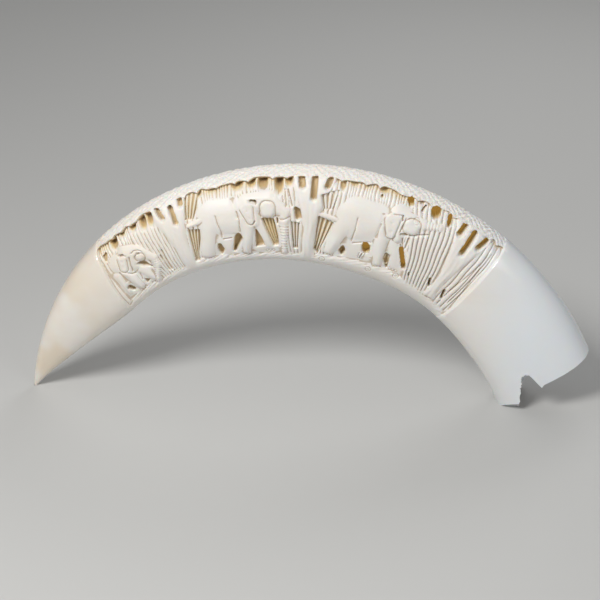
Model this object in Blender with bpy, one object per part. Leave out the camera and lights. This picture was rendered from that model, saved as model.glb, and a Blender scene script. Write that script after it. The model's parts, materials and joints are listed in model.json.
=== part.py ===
"""Carved hippo tusk.

One tooth bent to an arch, which stands on its tip and on the lip of its hollow root end.
Three elephants walk towards the root between three trees, in reeds, under a canopy of leaves.

The tooth lies in the XZ plane with its tip at -X, and the elephants are on its -Y side.
A place on it is an angle in degrees round the centre of its bend, from the root's side, and a
radius from that centre. Carving is a height in millimetres over the polished surface, along Y.
"""

import math
from collections import namedtuple

import bmesh
import bpy
import numpy as np
from mathutils import Matrix

MM = 0.001
FRONT = -1
BACK = 1

# The tooth
BEND_CENTRE_X = -9.9
BEND_CENTRE_Z = -48.0
THICKNESS = 34.0
TIP_THICKNESS = 2.0
TIP_SPREAD = 0.62
SECTION_POWER = 2.4
ROOT_ANGLE = 6.0
TIP_ANGLE = 161.8

Station = namedtuple("Station", "angle outer inner")
STATIONS = (
    Station(6, 190.0, 124.6),
    Station(20, 185.9, 126.1),
    Station(38, 186.7, 127.0),
    Station(58, 189.2, 131.0),
    Station(78, 189.8, 132.9),
    Station(98, 186.7, 135.2),
    Station(118, 180.1, 134.9),
    Station(136, 170.4, 133.0),
    Station(150, 161.5, 140.6),
    Station(162, 154.4, 153.0),
)

# The hollow of the root, its sawn end and the break in the lip
ROOT_WALL = 5.0
HOLLOW_END_ANGLE = 80.0
SAW_CORNER_X = 132.2
SAW_CORNER_Z = 19.4
SAW_SLOPE = 31.0
LIP_SLOPE = 58.0
BREAK_LEFT_X = 118.9
BREAK_TOP_Z = 25.4
BREAK_RADIUS = 3.4
BREAK_RIGHT_SLOPE = 47.0
BREAK_REACH_Y = -5.0
LIP_FLAT_WIDTH = 18.0
LIP_WEAR_SLOPE = 40.0

# The carved zone, between a slanting edge by the tip and a straight one by the root
TIP_EDGE_ANGLE = 128.4
TIP_EDGE_RADIUS = 155.0
TIP_EDGE_SLANT = 0.073
ROOT_EDGE_ANGLE = 51.5
EDGE_WIDTH = 1.6
CORE = 1.6
WALL_STEEPNESS = 4.0
REED_DEPTH = 5.6
REED_RIDGE = 1.3
BACK_SHARE = 0.55

CANOPY_WIDTH = 2.0
CANOPY_SCALLOP = 0.9
CANOPY_PITCH = 2.3
LEAF_HEIGHT = 0.7
LEAF_PITCH = 5.2
GROUND_HEIGHT = 9.0
GROUND_BUMP = 0.5
GROUND_PITCH = 4.4
POCKET_DEPTH = 9.0

# Figures, with places along and up as shares of the height at the back
Elephant = namedtuple(
    "Elephant", "at ground height near_hind far_hind near_front far_front trunk tail"
)
ELEPHANTS = (
    Elephant(
        at=123.3, ground=142.5, height=27.0,
        near_hind=(-0.42, 0.05), far_hind=(-0.20, 0.20),
        near_front=(0.00, 0.03), far_front=(0.27, 0.12),
        trunk=((0.40, 0.76), (0.53, 0.61), (0.59, 0.33), (0.51, 0.15), (0.38, 0.02)),
        tail=((-0.40, 0.70), (-0.46, 0.45)),
    ),
    Elephant(
        at=97.5, ground=144.0, height=35.0,
        near_hind=(-0.77, 0.10), far_hind=(-0.43, 0.08),
        near_front=(-0.10, 0.00), far_front=(0.34, 0.13),
        trunk=((0.40, 0.82), (0.54, 0.71), (0.56, 0.45), (0.56, 0.02)),
        tail=((-0.70, 0.72), (-0.90, 0.68)),
    ),
    Elephant(
        at=72.3, ground=145.0, height=36.5,
        near_hind=(-0.70, 0.05), far_hind=(-0.38, 0.05),
        near_front=(0.13, 0.04), far_front=(0.42, 0.08),
        trunk=((0.40, 0.86), (0.52, 0.82), (0.68, 0.92)),
        tail=((-0.64, 0.70), (-0.86, 0.74)),
    ),
)

# Trees: where they stand, half widths, and the three slots under the leaves of each
Tree = namedtuple("Tree", "at foot fork waist crown slots")
Slot = namedtuple("Slot", "top_angle top bottom_angle bottom width")
TREES = (
    Tree(
        at=111.3, foot=139.0, fork=156.0, waist=4.3, crown=12.0,
        slots=(
            Slot(113.1, 179.0, 112.5, 174.6, 3.0),
            Slot(110.6, 178.0, 110.4, 170.2, 3.0),
            Slot(108.7, 180.4, 108.7, 178.4, 3.2),
        ),
    ),
    Tree(
        at=86.0, foot=140.0, fork=160.0, waist=3.5, crown=12.5,
        slots=(
            Slot(87.7, 185.6, 87.5, 182.4, 3.7),
            Slot(85.5, 185.6, 85.5, 177.1, 3.7),
            Slot(83.0, 186.0, 83.3, 183.1, 3.5),
        ),
    ),
)
OPEN_TREE = Tree(
    at=57.8, foot=141.0, fork=153.0, waist=3.3, crown=12.0,
    slots=(
        Slot(59.4, 185.4, 59.7, 181.2, 2.8),
        Slot(57.4, 184.4, 57.6, 173.3, 2.8),
        Slot(55.0, 184.4, 55.6, 180.0, 2.8),
    ),
)

# Gaps that open into the hollow: beside the leading elephant's legs and among the reeds
OPEN_GAPS = (
    Slot(67.7, 160.0, 65.6, 150.6, 2.8),
    Slot(74.4, 155.4, 74.0, 152.6, 4.2),
    Slot(69.5, 186.0, 69.3, 184.6, 3.6),
    Slot(64.9, 185.2, 64.8, 184.6, 5.6),
    Slot(62.3, 185.6, 62.0, 182.4, 2.6),
)
OPEN_REACH_Y = 2.5

# Reeds: a fan of stems between two angles at its top and two at its foot
Fan = namedtuple("Fan", "top_left top_right top foot_left foot_right foot stems")
FANS = (
    Fan(67.2, 61.5, 183.0, 64.6, 58.6, 146.0, 7),
    Fan(56.6, 51.6, 186.0, 56.0, 51.6, 141.0, 5),
    Fan(84.5, 79.6, 185.0, 84.9, 82.8, 144.0, 4),
    Fan(91.6, 88.3, 185.0, 90.0, 87.2, 144.0, 3),
    Fan(108.8, 104.6, 184.0, 111.0, 108.3, 144.0, 4),
    Fan(117.5, 111.5, 178.0, 116.5, 112.0, 142.0, 6),
)

# Shares of an elephant's height
BODY = ((-0.43, 0.66), (0.02, 0.66), 0.31, 0.32)
HEAD = ((0.14, 0.84), (0.28, 0.80), 0.17, 0.17)
CHEEK = ((0.34, 0.76), 0.125, 0.135)
EAR = ((0.05, 0.71), 0.135, 0.20)
HIND_HIP = (-0.56, 0.55)
FAR_HIP = (-0.33, 0.45)
SHOULDER = (0.03, 0.55)
FAR_SHOULDER = (0.20, 0.55)
LEG_TOP = 0.125
LEG_FOOT = 0.095
FAR_LEG = 0.075
TRUNK_ROOT = 0.085
TRUNK_TIP = 0.068
TAIL = 0.045
HIP_CREASE = ((-0.38, 0.74), (-0.36, 0.36))
SHOULDER_CREASE = ((-0.13, 0.88), (-0.09, 0.42))
SCORE_DEPTH = 1.1
SCORE_WIDTH = 0.9

# Mesh steps, and the share of the faces that the finished solid keeps
CARVED_STEP = 0.27
PLAIN_STEP = 1.6
FRONT_STEPS = 84
BACK_STEPS = 40
KEPT_FACES = 0.104

IVORY = (0.79, 0.75, 0.66)


def through(places, values, at):
    """A smooth curve through the values, read at the given places."""
    places = np.asarray(places, float)
    values = np.asarray(values, float)
    slopes = np.gradient(values, places)
    left = np.clip(np.searchsorted(places, at, side="right") - 1, 0, len(places) - 2)
    span = places[left + 1] - places[left]
    t = (at - places[left]) / span
    start = (2 * t**3 - 3 * t**2 + 1) * values[left] + (t**3 - 2 * t**2 + t) * span * slopes[left]
    end = (3 * t**2 - 2 * t**3) * values[left + 1] + (t**3 - t**2) * span * slopes[left + 1]
    return start + end


def outer_radius(angle):
    return through([s.angle for s in STATIONS], [s.outer for s in STATIONS], angle)


def inner_radius(angle):
    return through([s.angle for s in STATIONS], [s.inner for s in STATIONS], angle)


def half_sizes(angle):
    """The middle radius of the section, its half height and its half thickness."""
    outer = outer_radius(angle)
    inner = inner_radius(angle)
    half_height = np.maximum((outer - inner) / 2, TIP_THICKNESS / 2)
    half_thickness = np.minimum(THICKNESS / 2, TIP_SPREAD * half_height + TIP_THICKNESS / 2)
    return (outer + inner) / 2, half_height, half_thickness


def section_walk(steps):
    """Steps of equal length from the inner edge to the outer one: (height, depth), each a share."""
    turn = np.linspace(0, math.pi, 1441)
    height = -np.sign(np.cos(turn)) * np.abs(np.cos(turn)) ** (2 / SECTION_POWER)
    depth = np.abs(np.sin(turn)) ** (2 / SECTION_POWER)
    flatness = THICKNESS / (STATIONS[3].outer - STATIONS[3].inner)
    run = np.concatenate([[0], np.cumsum(np.hypot(np.diff(height), flatness * np.diff(depth)))])
    wanted = np.linspace(0, run[-1], steps + 1)
    return np.interp(wanted, run, height), np.interp(wanted, run, depth)


def eased(x):
    t = np.clip(x, 0, 1)
    return t * t * (3 - 2 * t)


def along(angle, at, radius):
    """Millimetres towards the root from the angle `at`."""
    return np.radians(at - angle) * radius


def rod(x, y, start, end, start_radius, end_radius):
    """How far a point is outside a tapering rod with round ends. It is negative inside."""
    dx = end[0] - start[0]
    dy = end[1] - start[1]
    t = np.clip(((x - start[0]) * dx + (y - start[1]) * dy) / (dx * dx + dy * dy), 0, 1)
    gap = np.hypot(x - start[0] - t * dx, y - start[1] - t * dy)
    return gap - start_radius - (end_radius - start_radius) * t


def oval(x, y, centre, half_x, half_y):
    """Roughly how far a point is outside an oval. It is negative inside."""
    reach = np.hypot((x - centre[0]) / half_x, (y - centre[1]) / half_y)
    return (reach - 1) * min(half_x, half_y)


def pillow(outside, top, drop, rounding):
    """A form with a rounded rim: `drop` lower at its edge, and steep beyond it."""
    inside = np.clip(-outside / rounding, 0, 1)
    bulge = np.sqrt(1 - (1 - inside) ** 2)
    return top - drop * (1 - bulge) - WALL_STEEPNESS * np.maximum(outside, 0)


def pocket(outside, depth):
    """A hole with steep sides, which is minus `depth` inside and rises past zero around it."""
    return np.minimum(-depth + WALL_STEEPNESS * np.maximum(outside + 0.8, 0), 0) + 50 * (
        outside > depth / WALL_STEEPNESS
    )


def scored(height, outside):
    """The height with a groove cut along the edge of a form."""
    return height - SCORE_DEPTH * np.exp(-((outside / SCORE_WIDTH) ** 2))


def elephant_height(angle, radius, figure):
    """The highest of an elephant's forms at each place."""
    size = figure.height
    x = along(angle, figure.at, figure.ground + size / 2) / size
    y = (radius - figure.ground) / size

    def limb(start, end, start_radius, end_radius, top, drop):
        outside = rod(x, y, start, end, start_radius, end_radius) * size
        return pillow(outside, top, drop, start_radius * size)

    forms = [
        limb(FAR_HIP, figure.far_hind, FAR_LEG, FAR_LEG, -3.2, 1.4),
        limb(FAR_SHOULDER, figure.far_front, FAR_LEG, FAR_LEG, -3.0, 1.4),
        limb(*figure.tail, TAIL, TAIL, -2.4, 1.0),
        limb(*BODY, -1.0, 3.6),
        limb(*HEAD, -0.9, 2.6),
        limb(HIND_HIP, figure.near_hind, LEG_TOP * 1.4, LEG_FOOT, -0.9, 2.4),
        limb(SHOULDER, figure.near_front, LEG_TOP, LEG_FOOT, -0.7, 2.4),
    ]
    steps = len(figure.trunk) - 1
    for i in range(steps):
        thick = TRUNK_ROOT + (TRUNK_TIP - TRUNK_ROOT) * i / steps
        thin = TRUNK_ROOT + (TRUNK_TIP - TRUNK_ROOT) * (i + 1) / steps
        forms.append(limb(figure.trunk[i], figure.trunk[i + 1], thick, thin, -0.5, 2.0))
    height = np.maximum.reduce(forms)
    for start, end in (HIP_CREASE, SHOULDER_CREASE):
        height = scored(height, rod(x, y, start, end, 0, 0) * size)
    for centre, half_x, half_y in (EAR, CHEEK):
        outside = oval(x, y, centre, half_x, half_y) * size
        height = scored(height, outside)
        height = np.maximum(height, pillow(outside, 0, 1.5, half_x * size * 0.8))
    return height


def tree_height(angle, radius, tree, canopy_edge):
    """A trunk with a waist that spreads into the canopy."""
    rise = np.clip((radius - tree.fork) / (canopy_edge - tree.fork), 0, 1)
    half_width = tree.waist + (tree.crown - tree.waist) * rise**1.5
    outside = np.abs(along(angle, tree.at, radius)) - half_width
    trunk = pillow(outside, -0.9, 1.6, tree.waist)
    return np.where(radius > tree.foot, trunk, -50.0)


def slot_outside(angle, radius, slot):
    """How far a place is outside a slot."""
    x = along(angle, slot.top_angle, radius)
    foot_x = along(slot.bottom_angle, slot.top_angle, slot.bottom)
    ends = ((0, slot.top), (foot_x, slot.bottom))
    return rod(x, radius, *ends, slot.width / 2, slot.width / 2)


def reed_height(angle, radius):
    """The stems of every fan, at the bottom of the carving."""
    height = np.full(angle.shape, -REED_DEPTH)
    for fan in FANS:
        up = np.clip((radius - fan.foot) / (fan.top - fan.foot), 0, 1)
        left = fan.foot_left + (fan.top_left - fan.foot_left) * up
        right = fan.foot_right + (fan.top_right - fan.foot_right) * up
        share = (left - angle) / (left - right)
        stem = np.abs(np.sin(math.pi * share * fan.stems))
        inside = (share > 0) & (share < 1)
        height = np.where(inside, -REED_DEPTH + REED_RIDGE * (2.6 * stem - 1), height)
    return height


def canopy_edge_radius(angle):
    scallop = np.abs(np.sin(math.pi * angle / CANOPY_PITCH))
    return outer_radius(angle) - CANOPY_WIDTH - CANOPY_SCALLOP * scallop


def ground_radius(angle):
    return inner_radius(angle) + GROUND_HEIGHT + 0.8 * np.sin(math.radians(1) * angle * 29)


def clumps(x, y, pitch):
    """Rounded lumps between -1 and 1, about as wide as the pitch."""
    wave = 2 * math.pi / pitch
    return np.sin(x * wave + 0.9 * np.sin(y * wave / 2.3)) * np.sin(y * wave + 1.7 * np.sin(x * wave / 3.1))


def leaf_lift(angle, radius, y):
    """How far the leaves over the crest stand out from the bend, or in from it."""
    on_canopy = eased((radius - canopy_edge_radius(angle)) / CANOPY_WIDTH)
    lumps = clumps(np.radians(angle) * radius, y, LEAF_PITCH)
    return LEAF_HEIGHT * (lumps - 1) * on_canopy * carved_share(angle, radius)


def carving_height(angle, radius, side):
    """Height over the polished surface inside the carved zone, before its edges are blended."""
    edge = canopy_edge_radius(angle)
    height = reed_height(angle, radius)
    for tree in TREES + (OPEN_TREE,):
        height = np.maximum(height, tree_height(angle, radius, tree, edge))
    if side == FRONT:
        for figure in ELEPHANTS:
            height = np.maximum(height, elephant_height(angle, radius, figure))
    bump = GROUND_BUMP * clumps(np.radians(angle) * radius, radius, GROUND_PITCH)
    height = np.maximum(height, pillow(radius - ground_radius(angle), -0.9, 1.6, 4.0) + bump)
    if side == FRONT:
        for tree in TREES:
            for slot in tree.slots:
                hole = pocket(slot_outside(angle, radius, slot), POCKET_DEPTH)
                height = np.minimum(height, hole)
    return np.maximum(height, pillow(edge - radius, -0.3, 0.6, 1.0))


def carved_share(angle, radius):
    """1 inside the carved zone and 0 on the polished tip and root."""
    tip_edge = TIP_EDGE_ANGLE + TIP_EDGE_SLANT * (TIP_EDGE_RADIUS - radius)
    from_tip = along(angle, tip_edge, radius)
    from_root = -along(angle, ROOT_EDGE_ANGLE, radius)
    return eased(from_tip / EDGE_WIDTH) * eased(from_root / EDGE_WIDTH)


def carve(angle, radius, y, side):
    """The depth, as Y, of the carved surface at each place of the polished one."""
    height = carving_height(angle, radius, side)
    if side == BACK:
        height = height * BACK_SHARE
    height = height * carved_share(angle, radius)
    deepest = -np.maximum(np.abs(y) - CORE, 0)
    return y + side * np.where(height < 0, np.maximum(height, deepest), height)


def place(angle, radius, y):
    """World positions in metres."""
    x = BEND_CENTRE_X + radius * np.cos(np.radians(angle))
    z = BEND_CENTRE_Z + radius * np.sin(np.radians(angle))
    return np.stack([x, y, z], axis=-1) * MM


def ring_angles():
    """Close rings over the carving and wide ones over the polished ends."""
    tip_edge = TIP_EDGE_ANGLE + 3
    root = np.arange(ROOT_ANGLE, ROOT_EDGE_ANGLE - 1, PLAIN_STEP)
    middle = np.arange(ROOT_EDGE_ANGLE - 1, tip_edge, CARVED_STEP)
    tip = np.arange(tip_edge, TIP_ANGLE, PLAIN_STEP)
    return np.concatenate([root, middle, tip, [TIP_ANGLE]])


def tube_mesh(name, rings):
    """A closed tube through rings of points, its ends filled."""
    count, around = rings.shape[:2]
    bm = bmesh.new()
    bmesh.ops.create_grid(bm, x_segments=count - 1, y_segments=around, size=1)
    bm.verts.ensure_lookup_table()
    for vert in bm.verts:
        ring = round((vert.co.x + 1) / 2 * (count - 1))
        turn = round((vert.co.y + 1) / 2 * around) % around
        vert.co = rings[ring, turn]
    bmesh.ops.remove_doubles(bm, verts=bm.verts, dist=1e-6)
    rim = [edge for edge in bm.edges if edge.is_boundary]
    bmesh.ops.holes_fill(bm, edges=rim, sides=0)
    bmesh.ops.recalc_face_normals(bm, faces=bm.faces)
    mesh = bpy.data.meshes.new(name)
    bm.to_mesh(mesh)
    bm.free()
    return mesh


def tooth_mesh():
    """The outer surface of the tooth, with its carving."""
    front_height, front_depth = section_walk(FRONT_STEPS)
    back_height, back_depth = section_walk(BACK_STEPS)
    angle = ring_angles()[:, None]
    middle, half_height, half_thickness = half_sizes(angle)

    def half(height, depth, side):
        radius = middle + half_height * height[None, :]
        y = side * half_thickness * depth[None, :]
        angles = np.broadcast_to(angle, radius.shape)
        lifted = radius + leaf_lift(angles, radius, y)
        return place(angles, lifted, carve(angles, radius, y, side))

    front = half(front_height[:-1], front_depth[:-1], FRONT)
    back = half(back_height[:0:-1], back_depth[:0:-1], BACK)
    return tube_mesh("carved_tusk", np.concatenate([front, back], axis=1))


def hollow_mesh():
    """The pulp cavity: the shape of the tooth drawn in, which ends in a blunt cone."""
    steps = 40
    share = np.sin(np.linspace(0, math.pi / 2, steps))
    angle = (ROOT_ANGLE - 2 + (HOLLOW_END_ANGLE - ROOT_ANGLE + 2) * share)[:, None]
    middle, half_height, half_thickness = half_sizes(np.maximum(angle, ROOT_ANGLE))
    narrowing = np.sqrt(1 - np.minimum(share, 0.9995) ** 2)[:, None]
    thickness = (THICKNESS / 2 - ROOT_WALL) * narrowing
    wall = half_thickness - thickness
    height, depth = section_walk(16)
    height = np.concatenate([height[:-1], height[:0:-1]])
    depth = np.concatenate([-depth[:-1], depth[:0:-1]])
    radius = middle + np.maximum(half_height - wall, thickness * 0.8) * height[None, :]
    return tube_mesh("hollow", place(np.broadcast_to(angle, radius.shape), radius, thickness * depth))


def prism_mesh(name, outline, start_y, end_y):
    """A flat outline of (x, z) millimetres drawn out along Y."""
    bm = bmesh.new()
    corners = [bm.verts.new((x * MM, start_y * MM, z * MM)) for x, z in outline]
    face = bm.faces.new(corners)
    grown = bmesh.ops.extrude_face_region(bm, geom=[face])
    moved = [part for part in grown["geom"] if isinstance(part, bmesh.types.BMVert)]
    bmesh.ops.translate(bm, verts=moved, vec=(0, (end_y - start_y) * MM, 0))
    bmesh.ops.recalc_face_normals(bm, faces=bm.faces)
    mesh = bpy.data.meshes.new(name)
    bm.to_mesh(mesh)
    bm.free()
    return mesh


def saw_outline():
    """What lies beyond the sawn end: a long slope, and a steeper one across the lip."""
    far = 80.0
    slope = math.radians(SAW_SLOPE)
    lip = math.radians(LIP_SLOPE)
    return [
        (SAW_CORNER_X, SAW_CORNER_Z),
        (SAW_CORNER_X - far * math.cos(lip), SAW_CORNER_Z - far * math.sin(lip)),
        (SAW_CORNER_X + far, SAW_CORNER_Z - far),
        (SAW_CORNER_X + far * math.cos(slope), SAW_CORNER_Z + far * math.sin(slope)),
    ]


def break_outline():
    """The chip out of the near wall: an upright side, a round top and a slope down to the saw cut."""
    centre_x = BREAK_LEFT_X + BREAK_RADIUS
    centre_z = BREAK_TOP_Z - BREAK_RADIUS
    slope = math.radians(BREAK_RIGHT_SLOPE)
    outline = [(BREAK_LEFT_X, -20.0)]
    for turn in np.linspace(math.pi, math.pi / 2 - slope, 7):
        outline.append(
            (centre_x + BREAK_RADIUS * math.cos(turn), centre_z + BREAK_RADIUS * math.sin(turn))
        )
    outline.append((outline[-1][0] + 40 * math.cos(slope), outline[-1][1] - 40 * math.sin(slope)))
    return outline


def slot_outline(slot):
    """A slot with round ends, as (x, z)."""
    top = place(slot.top_angle, slot.top, 0.0) / MM
    bottom = place(slot.bottom_angle, slot.bottom, 0.0) / MM
    lie = math.atan2(top[2] - bottom[2], top[0] - bottom[0])
    outline = []
    for end, first in ((top, lie - math.pi / 2), (bottom, lie + math.pi / 2)):
        for turn in np.linspace(first, first + math.pi, 7):
            outline.append(
                (end[0] + slot.width / 2 * math.cos(turn), end[2] + slot.width / 2 * math.sin(turn))
            )
    return outline


def underside_mesh():
    """What lies below the tooth: flat under both feet, and rising beside the worn lip."""
    reach = 60.0
    rise = (reach - LIP_FLAT_WIDTH / 2) * math.tan(math.radians(LIP_WEAR_SLOPE))
    outline = [(-reach, -reach), (reach, -reach), (reach, rise), (LIP_FLAT_WIDTH / 2, 0)]
    outline += [(-LIP_FLAT_WIDTH / 2, 0), (-reach, rise)]
    mesh = prism_mesh("underside", outline, -300, 300)
    mesh.transform(Matrix.Rotation(math.radians(90), 4, "Z"))
    return mesh


def clear_scene():
    for obj in list(bpy.data.objects):
        bpy.data.objects.remove(obj, do_unlink=True)


def new_collection(name, hidden=False):
    collection = bpy.data.collections.new(name)
    collection.hide_render = hidden
    bpy.context.scene.collection.children.link(collection)
    return collection


def add_object(mesh, collection):
    obj = bpy.data.objects.new(mesh.name, mesh)
    collection.objects.link(obj)
    return obj


def add_cutter(mesh, collection):
    cutter = add_object(mesh, collection)
    cutter.hide_render = True
    cutter.display_type = "WIRE"
    return cutter


def ivory_material():
    material = bpy.data.materials.new("ivory")
    material.use_nodes = True
    shader = material.node_tree.nodes["Principled BSDF"]
    shader.inputs["Base Color"].default_value = (*IVORY, 1)
    shader.inputs["Roughness"].default_value = 0.32
    shader.inputs["Metallic"].default_value = 0
    return material


def add_cut(obj, name, collection=None, cutter=None):
    cut = obj.modifiers.new(name, "BOOLEAN")
    cut.operation = "DIFFERENCE"
    cut.solver = "EXACT"
    if collection:
        cut.operand_type = "COLLECTION"
        cut.collection = collection
    else:
        cut.object = cutter


def main():
    clear_scene()
    parts = new_collection("carved hippo tusk")
    openings = new_collection("openings", hidden=True)
    floor = new_collection("underside cutter", hidden=True)

    add_cutter(hollow_mesh(), openings)
    add_cutter(prism_mesh("saw_cut", saw_outline(), -40, 40), openings)
    add_cutter(prism_mesh("lip_break", break_outline(), -40, BREAK_REACH_Y), openings)
    for i, slot in enumerate(OPEN_TREE.slots + OPEN_GAPS):
        add_cutter(prism_mesh(f"gap_{i + 1}", slot_outline(slot), -40, OPEN_REACH_Y), openings)
    below = add_cutter(underside_mesh(), floor)

    tusk = add_object(tooth_mesh(), parts)
    tusk.data.materials.append(ivory_material())
    tusk.data.shade_smooth()
    tusk.modifiers.new("triangles", "TRIANGULATE")
    add_cut(tusk, "openings", collection=openings)
    cut_faces = tusk.modifiers.new("cut faces", "TRIANGULATE")
    cut_faces.ngon_method = "CLIP"
    thin_out = tusk.modifiers.new("fewer faces", "DECIMATE")
    thin_out.ratio = KEPT_FACES
    add_cut(tusk, "standing flats", cutter=below)


main()
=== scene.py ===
"""Looks of the carved hippo tusk: its fine carving, its ivory and the stage it is shown on.

The tooth lies in the XZ plane with its tip at -X, and the elephants are on its -Y side.
A place on it is an angle in degrees round the centre of its bend, from the root's side, and a
radius in millimetres from that centre. Carving is a height in millimetres over the polished
surface, along Y.
"""

import json
import math
from collections import namedtuple

import bmesh
import bpy
import numpy as np
from bpy.props import FloatProperty, FloatVectorProperty, PointerProperty
from mathutils import Matrix, Vector

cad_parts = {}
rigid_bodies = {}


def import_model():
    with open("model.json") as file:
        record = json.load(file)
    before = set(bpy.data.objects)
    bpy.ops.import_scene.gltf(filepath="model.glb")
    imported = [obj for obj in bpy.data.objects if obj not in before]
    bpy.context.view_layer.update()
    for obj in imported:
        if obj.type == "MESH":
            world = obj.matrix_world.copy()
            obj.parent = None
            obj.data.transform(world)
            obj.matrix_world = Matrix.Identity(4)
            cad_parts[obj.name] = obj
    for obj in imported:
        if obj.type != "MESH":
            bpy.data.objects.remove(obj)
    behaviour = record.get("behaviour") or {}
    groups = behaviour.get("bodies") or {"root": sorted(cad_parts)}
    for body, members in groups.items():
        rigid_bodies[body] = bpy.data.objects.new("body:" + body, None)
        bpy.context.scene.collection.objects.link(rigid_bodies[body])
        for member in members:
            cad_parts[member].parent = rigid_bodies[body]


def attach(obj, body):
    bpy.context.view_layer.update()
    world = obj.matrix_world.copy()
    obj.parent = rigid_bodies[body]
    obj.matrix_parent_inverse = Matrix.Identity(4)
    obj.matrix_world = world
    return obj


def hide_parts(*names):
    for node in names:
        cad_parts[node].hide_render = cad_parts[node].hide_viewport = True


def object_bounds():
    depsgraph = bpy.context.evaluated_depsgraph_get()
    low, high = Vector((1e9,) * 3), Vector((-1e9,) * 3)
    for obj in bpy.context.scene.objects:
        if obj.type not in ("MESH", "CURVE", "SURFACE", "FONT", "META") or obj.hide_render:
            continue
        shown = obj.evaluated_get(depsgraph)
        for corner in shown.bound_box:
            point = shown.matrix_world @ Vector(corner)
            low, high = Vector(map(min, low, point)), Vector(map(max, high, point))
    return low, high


bl_info = {
    "name": "Carved Hippo Tusk",
    "version": (1, 0, 0),
    "blender": (4, 5, 0),
    "location": "View3D > Sidebar > Tusk",
    "description": "Builds the finely carved tusk over its plain solid, and a studio stage",
    "category": "Object",
}

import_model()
CAD_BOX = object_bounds()

MM = 0.001
FRONT = -1
BACK = 1
BACK_SHARE = 0.55

# The tooth, as in its solid
BEND_CENTRE = (-9.9, -48.0)
THICKNESS = 34.0
TIP_THICKNESS = 2.0
TIP_SPREAD = 0.62
SECTION_POWER = 2.4
ROOT_ANGLE = 6.0
TIP_ANGLE = 161.8

Station = namedtuple("Station", "angle outer inner")
STATIONS = [Station(*row) for row in (
    (6, 190, 124.6),
    (20, 185.9, 126.1),
    (38, 186.7, 127),
    (58, 189.2, 131),
    (78, 189.8, 132.9),
    (98, 186.7, 135.2),
    (118, 180.1, 134.9),
    (136, 170.4, 133),
    (150, 161.5, 140.6),
    (162, 154.4, 153),
)]
HOLLOW_START_ANGLE = 4.0
HOLLOW_END_ANGLE = 80.0
SAW_CORNER = (132.2, 19.4)
SAW_SLOPE = 31.0
LIP_SLOPE = 58.0
BREAK_LEFT_X = 118.9
BREAK_TOP_Z = 25.4
BREAK_RADIUS = 3.4
BREAK_RIGHT_SLOPE = 47.0
BREAK_REACH_Y = -5.0
LIP_FLAT_WIDTH = 18.0
LIP_WEAR_SLOPE = 40.0

TIP_EDGE_ANGLE = 128.4
TIP_EDGE_RADIUS = 155.0
TIP_EDGE_SLANT = 0.073
ROOT_EDGE_ANGLE = 51.5
ROOT_EDGE_RADIUS = 195
EDGE_WIDTH = 1.2
CORE = 1.6
WALL_STEEPNESS = 2.6
SHARP_ANGLE = 0.6

# Forms are rods with round ends: (angle, radius) of each end, half widths, the height of the
# middle over the polished surface and how much lower the rim is
Form = namedtuple("Form", "start end start_width end_width top drop")
# Grooves run through places, with a half width and a depth
Groove = namedtuple("Groove", "places width depth")
# Pockets are cut to a depth inside an outline of places, or along a line between two. The rounding
# is how far they reach beyond it, and stems are left standing in them.
Pocket = namedtuple("Pocket", "places rounding depth stems")
Elephant = namedtuple("Elephant", "far_forms forms trunk trunk_widths rings cheek ear toes")

LEADER = Elephant(
    far_forms=(
        Form((76.6, 158), (76.5, 148), 4.6, 4, -2.3, 1),
        Form((69.4, 162), (67.4, 148), 3.6, 2.9, -2, 1.2),
        Form((84.4, 168.9), (81, 167), 1.5, 1.6, -1.5, 0.8),
    ),
    forms=(
        Form((77.5, 168.6), (73.9, 169), 13.2, 12, -0.7, 2.2),
        Form((72.6, 172), (72, 160.5), 7.5, 4.6, -0.6, 2.4),
        Form((79.6, 163.5), (81.3, 147), 6.2, 4.2, -0.9, 2.4),
        Form((72, 162), (71, 147), 4.6, 3.4, -0.6, 2.2),
        Form((70.4, 176.9), (67.6, 176.4), 5.8, 5.2, -0.3, 1.9),
        Form((69.8, 172), (69.2, 165), 4.6, 3, -0.9, 1.8),
    ),
    trunk=((66.8, 176.8), (64.9, 178.2), (63.2, 179.4)),
    trunk_widths=(4.6, 3),
    rings=(0.25, 1, 1.7),
    cheek=((67.7, 174.1), 4.7, 4.5),
    ear=((71.3, 174), (70.8, 166.3), 4.2, 2.3),
    toes=((81.3, 144.6), (71, 145.2), (67.3, 146.4)),
)
MIDDLE = Elephant(
    far_forms=(
        Form((101.9, 158), (102.1, 147.5), 4.6, 4.2, -2.2, 1),
        Form((95.3, 161.5), (93.7, 148.2), 4.3, 2.8, -1.7, 1.6),
        Form((105.8, 168.2), (108.4, 166.6), 1.9, 1.2, -1.6, 0.8),
    ),
    forms=(
        Form((103.2, 167.2), (99.2, 166.6), 10.8, 11.4, -0.7, 2.2),
        Form((98.6, 170), (97.9, 160), 6.6, 4.8, -0.6, 2.2),
        Form((104.9, 163), (106.6, 147.8), 5.6, 4.9, -0.9, 2.4),
        Form((97.4, 161.5), (98.5, 145.6), 4.2, 3, -0.6, 2.2),
        Form((97, 173.3), (93.2, 173.8), 5.2, 5.8, -0.3, 1.9),
        Form((96.2, 170), (95.8, 162.5), 4, 3, -0.9, 1.8),
    ),
    trunk=((92.7, 173.3), (90.5, 168.7), (90.5, 162.8), (90.6, 143.5)),
    trunk_widths=(5, 2.1),
    rings=(0.42, 0.97, 1.76),
    cheek=((93.45, 170.2), 4.2, 4.9),
    ear=((97.2, 171.2), (96.75, 164.3), 3.6, 1.9),
    toes=((106.7, 144.6), (98.6, 143.4), (93.6, 145)),
)
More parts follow.
